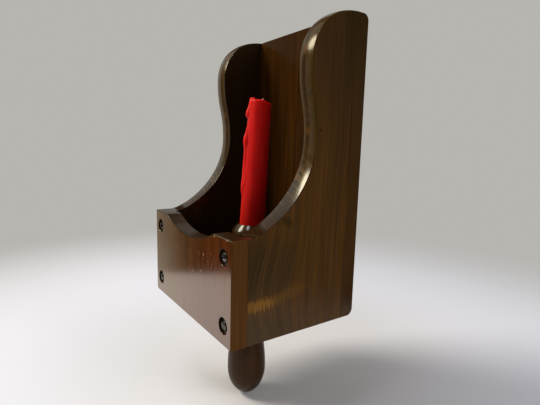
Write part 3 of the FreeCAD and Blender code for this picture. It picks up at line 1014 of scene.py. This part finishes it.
# wax runs: bearing round the candle, then (height, thickness, how far its middle stands out) down it, in mm
waxRuns = [
    (-112, [(99.0, 1.2, -0.9), (95.5, 1.8, -0.7), (92.0, 2.6, -0.5), (90.0, 2.6, -0.6), (88.0, 1.6, -1.2)]),
    (-108, [(82.0, 1.2, -0.9), (76.0, 2.0, -0.7), (71.0, 3.2, -0.6), (68.0, 3.2, -0.6), (63.0, 2.8, -1.2),
            (50.0, 2.6, -1.2), (38.0, 2.7, -1.3), (31.0, 2.9, -1.2), (26.0, 2.5, -1.2), (20.0, 1.2, -1.4)]),
    (-92, [(44.0, 0.9, -0.7), (37.0, 1.5, -0.6), (33.0, 1.7, -0.6), (29.0, 0.9, -0.9)]),
    (40, [(14.0, 0.8, -0.6), (11.0, 1.5, -0.6), (8.5, 0.9, -0.8)]),
]
crust = dict(reach=8.4 * mm, level=103.6 * mm, first=-165, last=-70, steps=6, thickness=1.0, uneven=0.3)


def around(bearing, reach, height):
    turned = math.radians(bearing)
    return (reach * math.cos(turned), reach * math.sin(turned), height)


def makeRun(bearing, steps):
    places = []
    for height, thickness, standOut in steps:
        share = height * mm / candle["height"]
        radius = candle["radius"] + share * (candle["topRadius"] - candle["radius"])
        places.append(around(bearing, radius + standOut * mm, height * mm))
    return pullTube("waxRun", places, [thickness for height, thickness, standOut in steps])


def makeCrust():
    places, thicknesses = [], []
    for step in range(crust["steps"] + 1):
        bearing = crust["first"] + (crust["last"] - crust["first"]) * step / crust["steps"]
        places.append(around(bearing, crust["reach"], crust["level"]))
        thicknesses.append(crust["thickness"] * (1 - crust["uneven"] * (step % 2)))
    return pullTube("waxCrust", places, thicknesses)


def meltAndLean(piece, voxel, smoothing):
    finishWith(piece, "REMESH", mode="VOXEL", voxel_size=voxel)
    finishWith(piece, "SMOOTH", factor=0.5, iterations=smoothing)
    piece.rotation_euler = (math.radians(-candle["lean"]), 0, 0)
    piece.location = candle["rim"]
    settle(piece)
    bpy.ops.object.shade_smooth()


def makeCandle():
    radius, thin, top = candle["radius"], candle["topRadius"], candle["height"]
    ease = candle["topRound"]
    land = thin - ease
    dishLevel = top - candle["dish"]

    wax = turn("waxCandle", [
        ((0, candle["butt"]), None, None),
        ((candle["buttRadius"], candle["butt"]), None, None),
        ((radius, 0), None, None),
        ((thin, top - ease), None, (thin, top - ease * (1 - circlePull))),
        ((land, top), (land + ease * circlePull, top), None),
        ((land - candle["dishRim"], top), None, (land - candle["dishEase"], top)),
        ((0, dishLevel), (candle["dishFloor"], dishLevel), None),
    ], y=0, curveSteps=12)
    fall, bearing = math.radians(candle["slope"]), math.radians(candle["slopeBearing"])
    downhill = Vector((math.cos(bearing), math.sin(bearing), 0))
    work(wax)
    bpy.ops.mesh.bisect(
        plane_co=downhill * candle["slopeStart"] + Vector((0, 0, top)),
        plane_no=downhill * math.sin(fall) + Vector((0, 0, math.cos(fall))), use_fill=True, clear_outer=True)
    letGo()
    runs = [makeRun(bearing, steps) for bearing, steps in waxRuns] + [makeCrust()]
    grab(wax)
    for run in runs:
        run.select_set(True)
    bpy.ops.object.join()
    meltAndLean(wax, candle["voxel"], candle["smoothing"])
    dress(wax, waxFinish, "candle", "candle_body")


# the wick is burnt short and bent over
wick = dict(
    thickness=(0.8, 0.8, 0.56), foot=95.0 * mm, bend=(1.4 * mm, 2.0 * mm),
    bendHeight=2.5 * mm, tip=104.6 * mm, voxel=0.12 * mm, smoothing=2)


def makeWick():
    bendX, bendY = wick["bend"]
    places = [(0, 0, wick["foot"]), (0, 0, wick["tip"] - wick["bendHeight"]), (bendX, bendY, wick["tip"])]
    strand = pullTube("candleWick", places, wick["thickness"])
    meltAndLean(strand, wick["voxel"], wick["smoothing"])
    dress(strand, wickFinish, "candle_wick", "candle_body")


makeCandle()
makeWick()
print("candle poured")

# these nodes keep their CAD form and only take a finish
keptNodes = {"bottom_shelf": sideFinish, "keyhole_plate": hangerFinish, "plate_screw_lower": screwFinish,
             "plate_screw_upper": screwFinish, "dowel_screw": screwFinish}
for node, finish in keptNodes.items():
    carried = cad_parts[node]
    carried.data.materials.clear()
    carried.data.materials.append(finish)


# floor, surround, lights and camera

stageLook = dict(
    floor=(0.605, 0.613, 0.690), floorNearShade=(0.565, 0.550, 0.560), floorRadius=4,
    near=(0.30, 0.05), away=(0.30, 0.75), backdrop=(0.47, 0.462, 0.435), fill=0.10,
    fillTone=(1.0, 0.98, 0.95))


# camera, glossy and clear rays see the backdrop's colour
def seenRays(paint):
    path = paint.node("LightPath", output="Is Camera Ray")
    shiny = path.maths("MAXIMUM", path, path.other("Is Glossy Ray"))
    return path.maths("MAXIMUM", shiny, path.other("Is Transmission Ray"))


def makeFloor():
    letGo()
    bpy.ops.mesh.primitive_circle_add(
        vertices=96, radius=stageLook["floorRadius"], fill_type="NGON", location=(0, 0, cadLow.z))
    floor = settle(named("paleFloor"))
    paint, place = newPaint("paleFloorPaint")
    x, y, z = paint.axes(place)
    dust = paint.noise(place, (6, 6, 6))
    reach = (x * x + y * y) ** 0.5
    # painted shade and warm bounce light: the floor turns darker and warmer near the object
    nearbyShade = paint.fade(reach, *stageLook["near"]) * (1 - dust * 0.2)
    near = paint.shader(Base_Color=paint.mix(nearbyShade, stageLook["floor"], stageLook["floorNearShade"]),
                        Roughness=0.6 + dust * 0.1, Specular_IOR_Level=0.2)
    far = paint.node("Emission", {}, {"Color": (*stageLook["backdrop"], 1)})
    away = paint.fade(reach, *stageLook["away"])
    floor.data.materials.append(paint.finish(paint.blend(away * seenRays(paint), near, far)))


# dark cards only show in the varnish: tall to the front and to the right, low along the table's left edge;
# each is (radius, height, lift, first bearing, last bearing)
cards = {
    "frontCard": (0.47, 0.40, 0.0, -148, -137),
    "liftedCard": (0.47, 0.23, 0.17, -153, -148),
    "nearCard": (0.47, 0.40, 0.0, -118, -10),
    "rightCard": (0.32, 1.00, 0.0, -10, 75),
}
edgeCard = dict(
    place=(-0.3238, -0.2762), turn=36.9, ahead=1.0, behind=0.17, height=0.15,
    thinFade=(-0.215, -0.267), thin=0.25)
# the ceiling is dark in the varnish too, and is cut away low, behind and to the left
ceiling = dict(radius=2.0, low=0.60, back=0.62, leftFrom=176, leftTo=208)
cardCloth = dict(dark=(0.006, 0.0045, 0.0035), light=1.3)


def paintCard(name, fading):
    paint, place = newPaint(name)
    x, y, z = paint.axes(place)
    nap = paint.noise(place, (40, 40, 40), 2.0)
    cloth = paint.mix(nap, cardCloth["dark"], tuple(tone * cardCloth["light"] for tone in cardCloth["dark"]))
    thick = 1.0
    if fading:
        thick = paint.fade(y, *edgeCard["thinFade"]) * (1 - edgeCard["thin"]) + edgeCard["thin"]
    return paint.finish(paint.shader(Base_Color=cloth, Roughness=0.9, Specular_IOR_Level=0.0, Alpha=thick))


def cutAway(card, unwanted):
    work(card)
    pick(card, "FACE", unwanted)
    bpy.ops.mesh.delete(type="FACE")
    letGo()


def hangCard(card, finish):
    card.data.materials.append(finish)
    for rays in ("camera", "diffuse", "shadow"):
        setattr(card, "visible_" + rays, False)


def bearingOf(place):
    return math.degrees(math.atan2(place.y - cupY, place.x))


def makeCards():
    cloth = paintCard("darkCardCloth", False)
    for name, (radius, height, lift, first, last) in cards.items():
        letGo()
        bpy.ops.mesh.primitive_cylinder_add(
            vertices=120, radius=radius, depth=height, end_fill_type="NOTHING",
            location=(0, cupY, cadLow.z + lift + height / 2))
        sheet = settle(named(name))
        cutAway(sheet, lambda face: not first <= bearingOf(face.calc_center_median()) <= last)
        hangCard(sheet, cloth)
    edge = block((-mm, -edgeCard["ahead"], 0), (0, edgeCard["behind"], edgeCard["height"]))
    edge.rotation_euler = (0, 0, math.radians(edgeCard["turn"]))
    edge.location = (*edgeCard["place"], cadLow.z)
    settle(edge)
    edge.name = "edgeCard"
    hangCard(edge, paintCard("fadingCardCloth", True))

    def openCeiling(face):
        middle = face.calc_center_median()
        behind = middle.y > ceiling["back"] and middle.x < 0
        left = ceiling["leftFrom"] < bearingOf(middle) % 360 < ceiling["leftTo"]
        return middle.z < ceiling["low"] or behind or left

    letGo()
    bpy.ops.mesh.primitive_uv_sphere_add(
        segments=48, ring_count=36, radius=ceiling["radius"], location=(0, cupY, 0))
    dome = settle(named("ceilingCard"))
    cutAway(dome, openCeiling)
    hangCard(dome, cloth)


def makeWorld():
    world = bpy.data.worlds.new("studio")
    bpy.context.scene.world = world
    sky = Paint(world)
    seen = sky.node("Background", {}, {"Color": (*stageLook["backdrop"], 1)})
    fillLight = {"Color": (*stageLook["fillTone"], 1), "Strength": stageLook["fill"]}
    fill = sky.node("Background", {}, fillLight)
    sky.node("OutputWorld", {}, {"Surface": sky.blend(seenRays(sky), fill, seen)})


# lamps as (place, target, size, power, colour, shown in the varnish or not)
lamps = {
    "keyLamp": ((-1.08, -1.32, 1.49), (0, -0.06, -0.05), (1.0, 1.0), 38.0, (1.0, 0.95, 0.87), False),
    "windowLamp": ((-0.806, -0.989, 1.03), (0.03, -0.06, 0.0), (0.58, 0.62), 16.0, (1.0, 0.96, 0.78), True),
    "glintLamp": ((0.095, -0.60, 1.13), (0, -0.06, -0.05), (0.32, 0.26), 2.0, (0.92, 0.96, 1.0), True),
    "frontLamp": ((0.60, -0.70, 0.25), (0, -0.06, 0.0), (0.5, 0.5), 1.1, (1.0, 0.98, 0.95), False),
    "topLamp": ((-0.40, -0.30, 1.1), (0, -0.06, -0.2), (0.6, 0.6), 3.0, (1.0, 0.99, 0.97), False),
    "rightLamp": ((0.95, 0.40, 0.30), (0, -0.06, -0.05), (0.8, 0.8), 8.0, (1.0, 0.98, 0.95), False),
}


def makeLamps():
    for name, (place, target, size, power, colour, mirrored) in lamps.items():
        letGo()
        bpy.ops.object.light_add(type="AREA", location=place)
        lamp = named(name)
        lamp.data.shape = "ELLIPSE"
        lamp.data.size, lamp.data.size_y = size
        lamp.data.energy = power
        lamp.data.color = colour
        lamp.visible_glossy = mirrored
        lamp.rotation_euler = (Vector(target) - Vector(place)).to_track_quat("-Z", "Y").to_euler()


view = dict(
    place=(0.28495, -0.23647, 0.02008), azimuth=54.86, down=8.34, roll=1.51, lens=26.53,
    sensor=36, nearest=0.01)


def makeCamera():
    letGo()
    bpy.ops.object.camera_add(location=view["place"])
    camera = named("photoView")
    aside, down = math.radians(view["azimuth"]), math.radians(view["down"])
    forward = Vector((-math.sin(aside) * math.cos(down), math.cos(aside) * math.cos(down), -math.sin(down)))
    level = forward.to_track_quat("-Z", "Y").to_matrix()
    camera.rotation_euler = (level @ Matrix.Rotation(math.radians(view["roll"]), 3, "Z")).to_euler()
    camera.data.sensor_width = view["sensor"]
    camera.data.lens = view["lens"]
    camera.data.clip_start = view["nearest"]
    bpy.context.scene.camera = camera


makeFloor()
makeCards()
makeWorld()
makeLamps()
makeCamera()
bpy.context.scene.view_settings.view_transform = "Standard"
print("stage lit")
